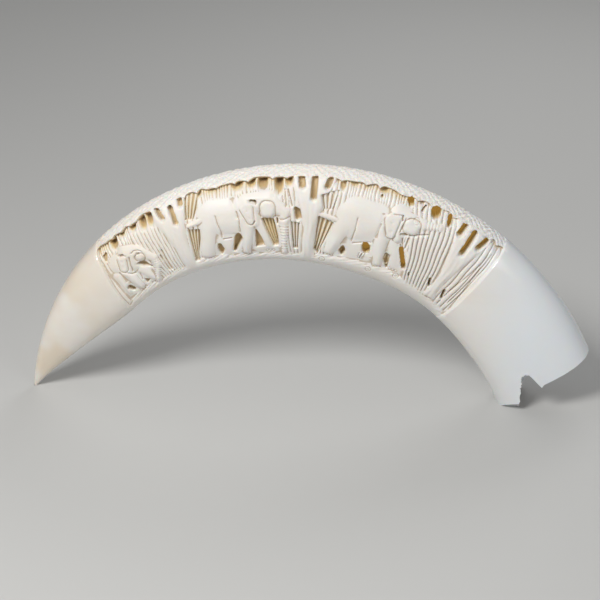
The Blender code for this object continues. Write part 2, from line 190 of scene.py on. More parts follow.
LAST = Elephant(
    far_forms=(
        Form((121, 153), (119.9, 144.5), 3.2, 2.4, -1.4, 1.2),
        Form((126, 156), (126.8, 144), 3.4, 1.3, -1.1, 1.4),
        Form((127.9, 166), (128.8, 140), 1.6, 1.8, -1.4, 0.5),
    ),
    forms=(
        Form((123.9, 160), (121.6, 160.8), 8.6, 8.8, -0.7, 2.4),
        Form((124, 156), (123.6, 144.2), 3.8, 2.4, -0.7, 1.8),
        Form((122, 164.6), (119.7, 163.2), 4.7, 4.4, -0.4, 1.6),
    ),
    trunk=((119, 161.6), (117.5, 156.6), (117.6, 151.8), (118.4, 147.3), (119.6, 142)),
    trunk_widths=(3.9, 2.2),
    rings=(0.3, 0.9, 1.4),
    cheek=((119.8, 160), 2.9, 2.4),
    ear=((123.3, 163.2), (124, 158.4), 2.6, 2.2),
    toes=((123.7, 142), (120.2, 142.2)),
)
ELEPHANTS = (LEADER, MIDDLE, LAST)

GROOVES = [Groove(*row) for row in (
    # the leader
    (((77.3, 171.5), (77.2, 163), (77.4, 155.4)), 0.4, 0.75),
    (((77.3, 154.8), (75.4, 156.6), (73.5, 158.2)), 0.4, 0.8),
    (((73.2, 176.5), (73, 171.5)), 1.3, 0.5),
    (((73, 171.5), (73.1, 161.5)), 0.8, 0.6),
    (((72.6, 169.2), (70.5, 163.2)), 0.7, 0.5),
    (((67.7, 168.6), (66, 171.3), (64.3, 173.9)), 0.42, 1.5),
    (((68.5, 166.6), (67.5, 160.6)), 0.36, 1.1),
    (((67.4, 167.8), (67.1, 160.8)), 0.36, 1.1),
    (((69.3, 178.4), (69.3, 168.6)), 0.4, 0.9),
    # the middle one
    (((103, 170.5), (102.9, 165), (102.7, 160), (102.9, 155.4)), 0.45, 0.8),
    (((102.9, 155.1), (100.8, 155.1)), 0.4, 0.7),
    (((99.6, 177.5), (98.9, 166)), 1.5, 0.8),
    (((99.1, 171), (98.8, 165.5), (99.1, 157.5)), 0.45, 1),
    (((91.5, 164.3), (90.5, 164.7), (89.3, 166.3)), 0.55, 0.7),
    (((92.9, 165.3), (92, 154)), 0.36, 1),
    # the last one
    (((125.3, 158.4), (125.5, 150.6)), 0.6, 0.6),
    (((124, 155.7), (123.3, 153.6), (122.4, 152.8)), 0.4, 1),
    (((121.6, 163.4), (122.4, 158.4), (122.8, 154.3)), 0.45, 1.1),
    (((121.1, 163.9), (120.2, 164.8), (119.4, 164.2), (118.7, 162.4)), 0.4, 0.8),
    (((123.7, 166), (122.6, 165.6), (122.1, 163.8)), 0.5, 0.9),
    (((121.9, 151.8), (122.3, 147)), 0.36, 0.6),
    # bark and creases of the trees
    (((53.2, 180.6), (54.9, 149.1)), 0.45, 0.7),
    (((52.9, 183), (53.2, 142.8)), 0.45, 1.2),
    (((53.2, 173.9), (51.9, 140.3)), 0.4, 1),
)]

POCKETS = [Pocket(*row) for row in (
    # beside the leader
    (((84.2, 166.9), (81.5, 164.3), (83.6, 144.6), (84.4, 147)), 0.3, 5.4, 3),
    (((84, 178.6), (81.4, 181.6), (81.9, 172.6), (83.4, 171.6)), 0.5, 4, 3),
    (((78.7, 151.2), (79.1, 148.4), (78.6, 146.6), (78.3, 149)), 0.7, 6.5, 0),
    (((75.1, 154.6), (74.4, 156), (73.5, 155.8), (73.4, 152.8), (74.6, 151.6)), 0.3, 5, 0),
    (((75.2, 150.4), (73.9, 150.4), (74.4, 147), (75.2, 147)), 0.2, 3.2, 2),
    (((70, 154.2), (69.3, 153.6), (68.8, 146.6), (69.9, 150.6)), 0.6, 5.8, 2),
    (((68.2, 162.4), (67.4, 158.6)), 0.4, 4, 0),
    (((69, 168.3), (68, 169), (67.9, 168.3)), 0.45, 4.5, 0),
    (((69.9, 178), (69.7, 175.6)), 0.45, 2.4, 0),
    (((71.6, 177.4), (69.9, 178.5)), 0.35, 1.8, 0),
    # beside the middle one
    (((107.6, 181), (105.4, 180.6), (106.3, 174), (107.2, 169.8), (108.5, 170.2)), 0.4, 5.2, 3),
    (((108.7, 164.2), (106.8, 163), (107.2, 158), (108.6, 150), (109.1, 145.4), (109.7, 145.6)), 0.4, 5.4, 3),
    (((103.8, 151.8), (103.5, 148.6), (103.9, 146.6), (104, 149.6)), 1, 5.8, 0),
    (((99.5, 156.6), (99.2, 154.4), (101, 147.2), (100.1, 155)), 0.8, 6.6, 0),
    (((96, 158.6), (95.2, 153.5), (94.7, 148.4), (96.4, 148)), 0.3, 5.6, 0),
    (((94.6, 164.6), (92.6, 164.1), (91.9, 154), (91.9, 148.6), (92.8, 148.2)), 0.3, 6.4, 3),
    (((91.83, 164.6), (91.8, 162)), 0.45, 5, 0),
    (((88.4, 170.2), (88, 169.6), (87.7, 165.6), (88.1, 165)), 1, 5.8, 0),
    (((89.2, 162.6), (87.8, 162.2), (87.9, 146.8), (88.7, 146.8)), 0.3, 4.8, 2),
    (((90.4, 180), (90.15, 172)), 0.5, 3.4, 0),
    (((89.85, 180), (89.1, 171.8)), 0.36, 4.4, 0),
    (((96.3, 175.15), (95.6, 174.9), (95.55, 174.1)), 0.45, 5.2, 0),
    (((96, 163.9), (96.25, 162.7)), 0.4, 2.6, 0),
    # beside the last one
    (((126.4, 168.8), (125.6, 169.6), (126.3, 166.7)), 0.7, 5, 0),
    (((125.8, 147), (125.55, 145.4)), 1.3, 5.6, 0),
    (((122, 147), (121.1, 145.3), (122, 144.3)), 0.3, 4.2, 0),
    (((121, 157.2), (119.7, 156.6), (118.9, 152.2), (120.3, 154.6)), 0.4, 5, 0),
    (((123.2, 165.6), (122.6, 165.3)), 0.45, 3.2, 0),
    (((115.3, 158.6), (115.5, 145.4)), 0.34, 4.6, 0),
    (((116, 155.7), (116.05, 145.6)), 0.42, 4.2, 0),
    # slits among the reeds
    (((64, 149.2), (63.8, 147.2)), 0.3, 5, 0),
    (((59.6, 151.6), (59, 147.6)), 0.5, 6.4, 0),
    (((55.6, 149.8), (55, 144.8)), 0.55, 6.4, 0),
    (((52.9, 186.2), (52.5, 184.6)), 0.8, 2.6, 0),
    # small holes over the leader's back
    (((74.2, 183.4), (74.2, 183.1)), 0.7, 6, 0),
    (((66.8, 185.4), (67.1, 183.3)), 0.5, 6, 0),
)]

# Holes in the shade of the leaves: angle, millimetres under the crest, half sizes and depth
Hole = namedtuple("Hole", "angle under half_width half_height depth")
HOLES = [Hole(*row) for row in (
    (123.2, 4.9, 1.8, 2.4, 9), (121, 4.4, 1.4, 1, 7.5), (118.5, 4.4, 1.5, 1.5, 8.5),
    (116.4, 5, 1.5, 2.6, 8.5), (115, 5, 1.4, 2.6, 8.5),
    (105.5, 3.9, 1.9, 1.1, 7.5), (102.8, 3.8, 2.7, 1.2, 6.5), (98.5, 4.1, 2.2, 1.6, 9.5),
    (96.1, 4.1, 1.7, 1.4, 9.5), (94.1, 4.5, 1.7, 1.9, 11),
    (91.4, 4.9, 1.5, 3.1, 10), (89.8, 4.3, 1.6, 1.9, 8.5),
    (80.8, 4.4, 1.5, 3, 6), (79, 3.4, 2, 1.6, 7.5), (77, 3.8, 1.4, 1.2, 6),
    (74.1, 3.6, 1.6, 1.1, 9), (71.9, 3.2, 1.8, 0.9, 7), (67.7, 3.2, 1.1, 0.7, 7),
)]

Slot = namedtuple("Slot", "top_angle top bottom_angle bottom width")
Tree = namedtuple("Tree", "at foot fork waist crown slots")
TREES = (
    Tree(
        at=111.3, foot=139, fork=154, waist=4.4, crown=12,
        slots=(
            Slot(113.1, 179, 112.5, 174.6, 3),
            Slot(110.6, 178, 110.4, 170.2, 3),
            Slot(108.7, 180.4, 108.7, 178.4, 3.2),
        ),
    ),
    Tree(
        at=85.8, foot=140, fork=158, waist=3.6, crown=12.5,
        slots=(
            Slot(87.7, 185.6, 87.5, 182.4, 3.7),
            Slot(85.5, 185.6, 85.5, 177.1, 3.7),
            Slot(83, 186, 83.3, 183.1, 3.5),
        ),
    ),
    Tree(
        at=57.6, foot=141, fork=152, waist=3.3, crown=12,
        slots=(
            Slot(59.4, 185.4, 59.7, 181.2, 2.8),
            Slot(57.4, 184.4, 57.6, 173.3, 2.8),
            Slot(55, 184.4, 55.6, 180, 2.8),
        ),
    ),
)
OPEN_TREE = TREES[2]
OPEN_GAPS = (
    Slot(67.7, 160, 65.6, 150.6, 2.8),
    Slot(74.4, 155.4, 74, 152.6, 4.2),
    Slot(69.5, 186, 69.3, 184.6, 3.6),
    Slot(64.9, 185.2, 64.8, 184.6, 5.6),
    Slot(62.3, 185.6, 62, 182.4, 2.6),
)
OPEN_REACH_Y = 2.5
RAGGED_RIM = 0.28
RIM_STEP = 0.7
GAP_DEPTH = 10.5
GAP_INSET = 0.7
SLOT_DEPTH = 5.6
OPEN_SLOT_DEPTH = 9.5
SLOT_SLOPE = 9.0
HOLE_SLOPE = 4.0

# Reeds: stems between two angles at the top and two at the foot, and how deep they lie
Fan = namedtuple("Fan", "top_left top_right top foot_left foot_right foot stems depth groove")
FANS = [Fan(*row) for row in (
    (68.9, 60.6, 184, 64.8, 58.2, 144, 9, 1.3, 1.7),
    (56.2, 51.6, 187, 57, 51.4, 141, 5, 1.6, 1.3),
    (85.2, 79.8, 186, 85, 81, 144, 6, 2.2, 1.6),
    (92.4, 88, 186, 90, 87, 144, 4, 1.8, 1.2),
    (109.4, 104.4, 184, 111.6, 107.4, 144, 5, 2.4, 1.6),
    (119.8, 112.6, 178, 119, 112.6, 142, 10, 1.7, 1.5),
)]

GROUND_LINE = ((50, 8), (58, 11), (68, 13), (80, 11), (90, 8.5), (98, 8), (108, 10), (118, 8), (130, 7))
FLOWERS = ((82.5, 140.8), (72.2, 141.4), (66.1, 143.4))
FRINGE_PITCH = 1.7
CANOPY_WIDTH = 3.1
ARCH_PITCH = 3.1
RING_DEPTH = 0.22
# Eyes: angle, radius, size and depth
EYES = ((67.4, 178, 1.7, 0.55), (92.4, 176.9, 0.7, 0.25), (119.8, 162.8, 0.7, 0.6))
TOE_SPACING = 1.7
FAR_BELOW = -50.0

# The mesh: degrees between wide rings, steps round the front half of a section at one degree a
# ring, how much coarser the back is, the hollow's rings and their steps, and how far apart
# points may be that are one, in metres. Cuts reach past the tooth.
WIDE_STEP = 1.2
FRONT_RUN = 26.0
BACK_COARSENESS = 0.4
HOLLOW_RINGS = 48
HOLLOW_STEPS = 24
SECTION_SAMPLES = 2881
WELD = 1e-6
CUT_REACH = 40.0
UNDER_REACH = 300.0
CUT_INSET = 0.4
CUT_LIMIT = 4.0

# The photograph's view
PHOTO_WIDTH = 600
PIXEL = 0.00055
SENSOR = 36
VIEW_TURN = 3
VIEW_ELEVATION = 29
VIEW_MIDDLE = (-0.0036, -0.004, 0.0618)

# Where colours begin and end: along X in metres, or at depths in millimetres
TIP_REACH = (-0.075, -0.145)
ROOT_REACH = (0.08, 0.125)
GLOW_REACH = (0.012, 0.026)
GLOW_DEPTHS = (7.0, 9.5)
# Depths over which the painted shade of the pockets, and then of the deepest gaps, sets in
POCKET_SHADE_DEPTHS = (3.3, 6.8)
DEEP_SHADE_DEPTHS = (7.0, 10.4)
CARVED_ROUGHNESS = (0.46, 0.60)
POLISHED_ROUGHNESS = (0.17, 0.27)
POLISHED_GLOSS = 0.45
CARVED_GLOSS = 0.03
IVORY_IOR = 1.54
SCATTER_DEPTH = 0.0016
SCATTER_RADIUS = (1.0, 0.62, 0.36)
GLOW_STRENGTH = 0.72

LENGTH = {"subtype": "DISTANCE", "unit": "LENGTH"}
COLOUR = {"subtype": "COLOR", "size": 3, "min": 0, "max": 1}
POWER = {"subtype": "POWER", "unit": "POWER", "min": 0, "max": 100}
# The colours of the pockets, the deep gaps and the creases are painted shade
COLOUR_NAMES = ("Ivory", "Tip", "Root", "Pocket", "Deep", "Crease_shade", "Glow")
MASK_NAMES = ("Depth", "Crevice", "Carved")
# Sockets of a Mix node: share, first, second and result
MIX_SOCKETS = {"FLOAT": (0, 2, 3, 0), "RGBA": (0, 6, 7, 2)}


class TuskSizes(bpy.types.PropertyGroup):
    wall: FloatProperty(
        name="Root wall", description="Ivory left round the hollow of the root",
        default=0.005, min=0.003, max=0.008, **LENGTH,
    )
    leaf_height: FloatProperty(
        name="Leaf height", description="How far the leaves along the crest rise and fall",
        default=0.00062, min=0, max=0.0012, **LENGTH,
    )
    grain_height: FloatProperty(
        name="Grain height", description="Depth of the fine tool marks in the carving",
        default=0.00006, min=0, max=0.0003, **LENGTH,
    )
    carved_step: FloatProperty(
        name="Ring step", description="Degrees between the rings of the carved mesh",
        default=0.125, min=0.1, max=1,
    )
    face_limit: FloatProperty(
        name="Faces", description="Triangles that the finished piece may have",
        default=196000, min=20000, max=199000,
    )


class IvoryColours(bpy.types.PropertyGroup):
    ivory: FloatVectorProperty(
        name="Ivory", description="The carved and polished surface", default=(0.83, 0.805, 0.765), **COLOUR,
    )
    tip: FloatVectorProperty(
        name="Tip", description="The warmer ivory of the tip", default=(0.77, 0.68, 0.56), **COLOUR,
    )
    root: FloatVectorProperty(
        name="Root", description="The cool white of the root", default=(0.79, 0.83, 0.87), **COLOUR,
    )
    # Painted shade: tan darkening of the ivory in the carved pockets, set by depth
    pocket: FloatVectorProperty(
        name="Pockets", description="Ivory in the shallow pockets", default=(0.73, 0.585, 0.32), **COLOUR,
    )
    # Painted shade: the dark brown of the deepest gaps and holes, set by depth
    deep: FloatVectorProperty(
        name="Deep gaps", description="Dark painted shade in the deepest gaps",
        default=(0.13, 0.07, 0.025), **COLOUR,
    )
    glow: FloatVectorProperty(
        name="Glow", description="Light through the far wall of the hollow root",
        default=(0.30, 0.175, 0.035), **COLOUR,
    )
    # Painted shade: tan darkening along the fine grooves and creases, placed by the crevice attribute
    crease_shade: FloatVectorProperty(
        name="Creases", description="Tan painted shade in the finest grooves",
        default=(0.44, 0.30, 0.16), **COLOUR,
    )


class StageValues(bpy.types.PropertyGroup):
    floor: FloatVectorProperty(
        name="Floor", description="Colour of the floor", default=(0.55, 0.55, 0.54), **COLOUR,
    )
    key_power: FloatProperty(
        name="Key light", description="Power of the light over the tusk", default=5.2, **POWER,
    )
    fill_power: FloatProperty(
        name="Fill light", description="Power of the light in front of the tusk", default=1.5, **POWER,
    )
    distance: FloatProperty(
        name="Camera distance", description="From the camera to the middle of the tusk",
        default=0.9, min=0.3, max=3, **LENGTH,
    )


def through(places, values, at):
    """A smooth curve through the values, read at the given places."""
    places = np.asarray(places, float)
    values = np.asarray(values, float)
    slopes = np.gradient(values, places)
    left = np.clip(np.searchsorted(places, at, side="right") - 1, 0, len(places) - 2)
    span = places[left + 1] - places[left]
    t = (at - places[left]) / span
    start = (2 * t**3 - 3 * t**2 + 1) * values[left] + (t**3 - 2 * t**2 + t) * span * slopes[left]
    end = (3 * t**2 - 2 * t**3) * values[left + 1] + (t**3 - t**2) * span * slopes[left + 1]
    return start + end


def outer_radius(angle):
    return through([s.angle for s in STATIONS], [s.outer for s in STATIONS], angle)


def inner_radius(angle):
    return through([s.angle for s in STATIONS], [s.inner for s in STATIONS], angle)


def half_sizes(angle):
    """The middle radius of the section, its half height and its half thickness."""
    outer = outer_radius(angle)
    inner = inner_radius(angle)
    half_height = np.maximum((outer - inner) / 2, TIP_THICKNESS / 2)
    half_thickness = np.minimum(THICKNESS / 2, TIP_SPREAD * half_height + TIP_THICKNESS / 2)
    return (outer + inner) / 2, half_height, half_thickness


def section_walk(steps):
    """Steps of equal length from the inner edge to the outer one: (height, depth), each a share."""
    turn = np.linspace(0, math.pi, SECTION_SAMPLES)
    height = -np.sign(np.cos(turn)) * np.abs(np.cos(turn)) ** (2 / SECTION_POWER)
    depth = np.abs(np.sin(turn)) ** (2 / SECTION_POWER)
    flatness = THICKNESS / (STATIONS[3].outer - STATIONS[3].inner)
    run = np.concatenate([[0], np.cumsum(np.hypot(np.diff(height), flatness * np.diff(depth)))])
    wanted = np.linspace(0, run[-1], steps + 1)
    return np.interp(wanted, run, height), np.interp(wanted, run, depth)


def eased(x):
    t = np.clip(x, 0, 1)
    return t * t * (3 - 2 * t)


def along(angle, at, radius):
    """Millimetres towards the root from the angle `at`."""
    return np.radians(at - angle) * radius


def spot(angle, radius):
    """A place in the plane of the bend, as one complex number of millimetres."""
    return radius * np.exp(1j * np.radians(angle))


def share_along(p, start, span):
    """How far along a straight span each place is, as a share of it."""
    return ((p - start) * np.conj(span)).real / np.abs(span) ** 2


def segment_gap(p, start, end):
    """Distance from a straight line between two places, and the share of the way along it."""
    span = end - start
    t = np.clip(share_along(p, start, span), 0, 1)
    return np.abs(p - start - t * span), t


def rod(p, start, end, start_width, end_width):
    """How far a point is outside a tapering rod with round ends. It is negative inside."""
    gap, t = segment_gap(p, spot(*start), spot(*end))
    return gap - start_width - (end_width - start_width) * t


def segments(places):
    """The straight pieces of a bent line, each as its start, end and length, and the whole length."""
    ends = [spot(*place) for place in places]
    pieces = [(start, end, abs(end - start)) for start, end in zip(ends, ends[1:])]
    return pieces, sum(length for _, _, length in pieces)


def polyline(p, places):
    """Distance from a bent line, and the share of the way along it."""
    pieces, total = segments(places)
    nearest = np.full(p.shape, 1e9)
    share = np.zeros(p.shape)
    run = 0.0
    for start, end, length in pieces:
        gap, t = segment_gap(p, start, end)
        closer = gap < nearest
        nearest = np.where(closer, gap, nearest)
        share = np.where(closer, (run + t * length) / total, share)
        run += length
    return nearest, share


def outline_outside(p, places):
    """How far a point is outside a closed outline. It is negative inside."""
    corners = [spot(*place) for place in places]
    gap = np.full(p.shape, 1e9)
    inside = np.zeros(p.shape, bool)
    for i, start in enumerate(corners):
        end = corners[i - 1]
        gap = np.minimum(gap, segment_gap(p, start, end)[0])
        crosses = (start.imag > p.imag) != (end.imag > p.imag)
        rise = end.imag - start.imag
        meet = start.real + (p.imag - start.imag) * (end.real - start.real) / (rise or 1e-9)
        inside ^= crosses & (p.real < meet)
    return np.where(inside, -gap, gap)


def oval(x, y, half_x, half_y, power=2.0):
    """Roughly how far a point is outside an oval. It is negative inside."""
    reach = (np.abs(x / half_x) ** power + np.abs(y / half_y) ** power) ** (1 / power)
    return (reach - 1) * min(half_x, half_y)


def pillow(outside, top, drop, rounding):
    """A form with a rounded rim: `drop` lower at its edge, and steep beyond it."""
    inside = np.clip(-outside / rounding, 0, 1)
    bulge = 1 - (1 - inside) ** 2.4
    return top - drop * (1 - bulge) - WALL_STEEPNESS * np.maximum(outside, 0)


def melt(a, b, reach):
    """The higher of two forms, with a fillet of about this height where they meet."""
    return np.maximum(a, b) + np.maximum(reach - np.abs(a - b), 0) ** 2 / (4 * reach)


def scored(height, outside, width, depth):
    """The height with a groove along the place where `outside` is zero."""
    return height - depth * np.exp(-((outside / width) ** 2))


def hollowed(height, outside, depth, slope):
    """The height cut down to `depth` inside an outline, with sloping walls."""
    floor = -depth + slope * np.maximum(outside + CUT_INSET, 0)
    return np.where(outside < CUT_LIMIT, np.minimum(height, floor), height)


def clumps(x, y, pitch):
    """Rounded lumps between -1 and 1, about as wide as the pitch."""
    wave = 2 * math.pi / pitch
    return np.sin(x * wave + 0.9 * np.sin(y * wave / 2.3)) * np.sin(y * wave + 1.7 * np.sin(x * wave / 3.1))


def form_height(p, form):
    outside = rod(p, form.start, form.end, form.start_width, form.end_width)
    return pillow(outside, form.top, form.drop, max(form.start_width, form.end_width))


def trunk_height(p, elephant):
    """A bent tapering trunk, ringed over part of its length."""
    pieces, total = segments(elephant.trunk)
    first, last = elephant.trunk_widths
    ring_start, ring_end, pitch = elephant.rings
    height = np.full(p.shape, FAR_BELOW)
    run = 0.0
    for start, end, length in pieces:
        gap, t = segment_gap(p, start, end)
        walked = run + t * length
        share = walked / total
        width = last + (first - last) * (1 - share) ** 1.7
        band = eased((share - ring_start) / 0.08) * eased((ring_end - share) / 0.05)
        ring = RING_DEPTH * (np.cos(2 * math.pi * walked / pitch) - 1) * band
        height = np.maximum(height, pillow(gap - width, -0.5, 2.0, first * 0.8) + ring)
        run += length
    return height


def ear_height(p, height, elephant):
    """The ear as a flat plate that grows out of the head, with an outline below and two dimples."""
    start, end, top_width, bottom_width = elephant.ear
    outside = rod(p, start, end, top_width, bottom_width)
    top = spot(*start)
    below_top = ((p - top) * np.conj(spot(*end) - top)).real / abs(spot(*end) - top)
    free = eased((below_top + 0.55 * top_width) / 2.5)
    height = scored(height, outside - 0.1, 0.45, 0.9 * free)
    plate = pillow(outside, -0.5, 0.8, 1.3)
    for at in (0.15, 0.75):
        middle = top * (1 - at) + spot(*end) * at
        plate = plate - 0.3 * np.exp(-((np.abs(p - middle) / 0.8) ** 2))
    return np.maximum(height, plate)


def elephant_height(height, angle, radius, elephant):
    """The surface with an elephant on it."""
    p = spot(angle, radius)
    for form in elephant.far_forms:
        height = melt(height, form_height(p, form), 0.5)
    near = np.full(p.shape, FAR_BELOW)
    for form in elephant.forms:
        near = melt(near, form_height(p, form), 0.8)
    near = melt(near, trunk_height(p, elephant), 0.6)
    height = np.maximum(height, near)
    height = ear_height(p, height, elephant)
    centre, half_x, half_y = elephant.cheek
    x = along(angle, centre[0], radius)
    cheek = oval(x, radius - centre[1], half_x, half_y, 2.7)
    height = scored(height, cheek + 0.1, 0.45, 0.95)
    height = np.maximum(height, pillow(cheek, -0.35, 1.7, 3.0))
    for foot_angle, foot_radius in elephant.toes:
        for step in (-TOE_SPACING, 0.0, TOE_SPACING):
            toe = oval(along(angle, foot_angle, radius) - step, radius - foot_radius, 0.8, 0.7)
            height = scored(height, toe, 0.25, 0.3)
    return height


def eye_height(height, angle, radius):
    """Ringed eyes of the leader and the last elephant, and a small one on the middle one."""
    for at, level, size, depth in EYES:
        gap = np.hypot(along(angle, at, radius), radius - level)
        height = scored(height, gap - size, 0.35, depth)
        height = scored(height, gap - size * 0.35, 0.3, depth * 0.7)
    return height


def canopy_edge_radius(angle):
    """The lower edge of the leaves, in uneven arches."""
    turn = angle + 0.75 * np.sin(angle * 0.83) + 0.3 * np.sin(angle * 2.1)
    arch = np.abs(np.sin(math.pi * turn / ARCH_PITCH)) ** 0.8
    return outer_radius(angle) - CANOPY_WIDTH + (1.0 + 0.35 * np.sin(angle * 0.61)) * arch


def ground_radius(angle):
    return inner_radius(angle) + through([g[0] for g in GROUND_LINE], [g[1] for g in GROUND_LINE], angle)


def field_height(angle, radius, side):
    """Grass behind the figures: radial blades that sink under the leaves, and the reed fans."""
    under = canopy_edge_radius(angle) - radius
    wobble = 0.45 * np.sin(angle * 2.3) + 0.16 * np.sin(radius * 0.8 + angle * 0.7)
    blade = np.abs(np.sin(math.pi * (np.radians(angle) * 180 + wobble) / FRINGE_PITCH))
    sunk = eased(1 - under / 6.5)
    grassy = eased((radius - 158) / 8) if side == FRONT else 1.6
    height = -2.2 - 0.2 * grassy - 2.2 * sunk**2 - (0.7 * grassy + 1.8 * sunk) * (1 - blade) ** 1.2
    for fan in FANS:
        up = (radius - fan.foot) / (fan.top - fan.foot)
        left = fan.foot_left + (fan.top_left - fan.foot_left) * up
        right = fan.foot_right + (fan.top_right - fan.foot_right) * up
        share = (left - angle) / (left - right)
        stem = np.abs(np.sin(math.pi * (share * fan.stems + 0.06 * np.sin(radius * 0.35))))
        inside = eased((left - angle) / 0.3) * eased((angle - right) / 0.3)
        reeds = -fan.depth - fan.groove * (1 - stem) ** 2.2 - 2.2 * eased(1 - under / 4)
        height = height * (1 - inside) + reeds * inside
    return height


def tree_height(angle, radius, tree, canopy_edge):
    """A trunk with a waist and a flared foot that spreads into the canopy."""
    rise = np.clip((radius - tree.fork) / (canopy_edge - tree.fork), 0, 1)
    flare = 1.6 * eased((tree.foot + 7 - radius) / 7)
    half_width = tree.waist + (tree.crown - tree.waist) * rise**1.5 + flare
    x = along(angle, tree.at, radius)
    trunk = pillow(np.abs(x) - half_width, -0.8, 1.7, tree.waist)
    grain = 0.10 * np.sin(x * 2.4 + np.sin(radius * 0.3)) * (1 - rise)
    return np.where(radius > tree.foot, trunk + grain, FAR_BELOW)


def slot_outside(angle, radius, slot):
    """How far a place is outside a slot."""
    top, bottom = (slot.top_angle, slot.top), (slot.bottom_angle, slot.bottom)
    return rod(spot(angle, radius), top, bottom, slot.width / 2, slot.width / 2)


def pocket_height(height, p, pocket):
    """The surface with one pocket cut into it, and the stems that are left standing in it."""
    if len(pocket.places) == 2:
        outside = polyline(p, pocket.places)[0] - pocket.rounding
    else:
        outside = outline_outside(p, pocket.places) - pocket.rounding
    cut = hollowed(height, outside, pocket.depth, max(3.0, 0.9 * pocket.depth))
    if pocket.stems:
        corners = [spot(*place) for place in pocket.places]
        top = (corners[0] + corners[1]) / 2
        foot = (corners[-1] + corners[-2]) / 2
        top_span = corners[1] - corners[0]
        foot_span = corners[-2] - corners[-1]
        t = np.clip(share_along(p, top, foot - top), 0, 1)
        middle = top + t * (foot - top)
        span = top_span + t * (foot_span - top_span)
        stem = np.abs(np.sin(math.pi * (share_along(p, middle, span) + 0.5) * pocket.stems))
        floor = -pocket.depth + 1.9 * stem**2 - 2.0 * np.maximum(outside + 0.5, 0)
        cut = np.where(outside < 0, np.maximum(cut, floor), cut)
    return cut


def ground_height(angle, radius):
    """Beaten ground along the inner edge: low mounds with small dents."""
    x = np.radians(angle) * radius
    outside = radius - ground_radius(angle) + 0.5 * clumps(x, radius, 6.1)
    dents = np.maximum(clumps(x + 2.0, radius * 1.3, 3.3) - 0.72, 0)
    return pillow(outside, -0.8, 1.3, 5.0) + 0.07 * clumps(x, radius * 1.6, 4.3) - 0.5 * dents


def flower_height(height, angle, radius):
    """Small ringed flowers on the ground."""
    for at, level in FLOWERS:
        gap = np.hypot(along(angle, at, radius), radius - level)
        height = scored(height, gap - 1.5, 0.3, 0.45)
        height = scored(height, gap - 0.5, 0.22, 0.3)
    return height


def carving_height(angle, radius, side):
    """Height over the polished surface inside the carved zone, before its edges are blended."""
    edge = canopy_edge_radius(angle)
    p = spot(angle, radius)
    height = field_height(angle, radius, side)
    for tree in TREES:
        height = np.maximum(height, tree_height(angle, radius, tree, edge))
    if side == FRONT:
        for hole in HOLES:
            below = outer_radius(angle) - radius - hole.under
            gap = oval(along(angle, hole.angle, radius), below, hole.half_width, hole.half_height)
            height = hollowed(height, gap, hole.depth, HOLE_SLOPE)
        for elephant in ELEPHANTS:
            height = elephant_height(height, angle, radius, elephant)
        height = eye_height(height, angle, radius)
    height = melt(height, ground_height(angle, radius), 0.5)
    if side == FRONT:
        height = flower_height(height, angle, radius)
        for groove in GROOVES:
            gap, share = polyline(p, groove.places)
            fading = eased(np.minimum(share, 1 - share) / 0.12 + 0.1)
            height = scored(height, gap, groove.width, groove.depth * fading)
        for pocket in POCKETS:
            height = pocket_height(height, p, pocket)
        for tree in TREES:
            depth = OPEN_SLOT_DEPTH if tree is OPEN_TREE else SLOT_DEPTH
            for slot in tree.slots:
                height = hollowed(height, slot_outside(angle, radius, slot), depth, SLOT_SLOPE)
        for slot in OPEN_GAPS:
            height = hollowed(height, slot_outside(angle, radius, slot) + GAP_INSET, GAP_DEPTH, SLOT_SLOPE)
    return np.maximum(height, pillow(edge - radius, -0.3, 1.0, 1.2))


def carved_share(angle, radius):
    """1 inside the carved zone and 0 on the polished tip and root."""
    tip_edge = TIP_EDGE_ANGLE + TIP_EDGE_SLANT * (TIP_EDGE_RADIUS - radius)
    from_tip = along(angle, tip_edge, radius)
    from_root = -along(angle, ROOT_EDGE_ANGLE, radius)
    return eased(from_tip / EDGE_WIDTH) * eased(from_root / EDGE_WIDTH)


def carve(angle, radius, y, side):
    """The depth, as Y, of the carved surface at each place of the polished one."""
    height = carving_height(angle, radius, side)
    if side == BACK:
        height = height * BACK_SHARE
    height = height * carved_share(angle, radius)
    deepest = -np.maximum(np.abs(y) - CORE, 0)
    return y + side * np.where(height < 0, np.maximum(height, deepest), height)


def leaf_lift(angle, radius, y, leaf_height):
    """How far the leaves over the crest stand out from the bend, or in from it."""
    on_canopy = eased((radius - canopy_edge_radius(angle)) / 1.2)
    x = np.radians(angle) * radius
    lumps = 0.62 * (clumps(x, y, 4.9) - 1)
    lumps = lumps + 0.34 * clumps(x + 3, y * 1.1, 2.4)
    lumps = lumps + 0.2 * clumps(x * 1.1, y + 5, 1.3)
    return leaf_height * np.minimum(lumps, 0) * on_canopy * carved_share(angle, radius)


def place(angle, radius, y):
    """World positions in metres."""
    x = BEND_CENTRE[0] + radius * np.cos(np.radians(angle))
    z = BEND_CENTRE[1] + radius * np.sin(np.radians(angle))
    return np.stack([x, y, z], axis=-1) * MM


def ring_angles(step):
    """Close rings over the carving and wide ones over the polished ends."""
    first = ROOT_EDGE_ANGLE - 0.6
    last = TIP_EDGE_ANGLE + 3
    root = np.arange(ROOT_ANGLE, first, WIDE_STEP)
    tip = np.arange(last, TIP_ANGLE, WIDE_STEP)
    return np.concatenate([root, np.arange(first, last, step), tip, [TIP_ANGLE]])


def finished(bm, name):
    """A mesh of what a bmesh holds, its faces turned outwards."""
    bmesh.ops.recalc_face_normals(bm, faces=bm.faces)
    mesh = bpy.data.meshes.new(name)
    bm.to_mesh(mesh)
    bm.free()
    return mesh


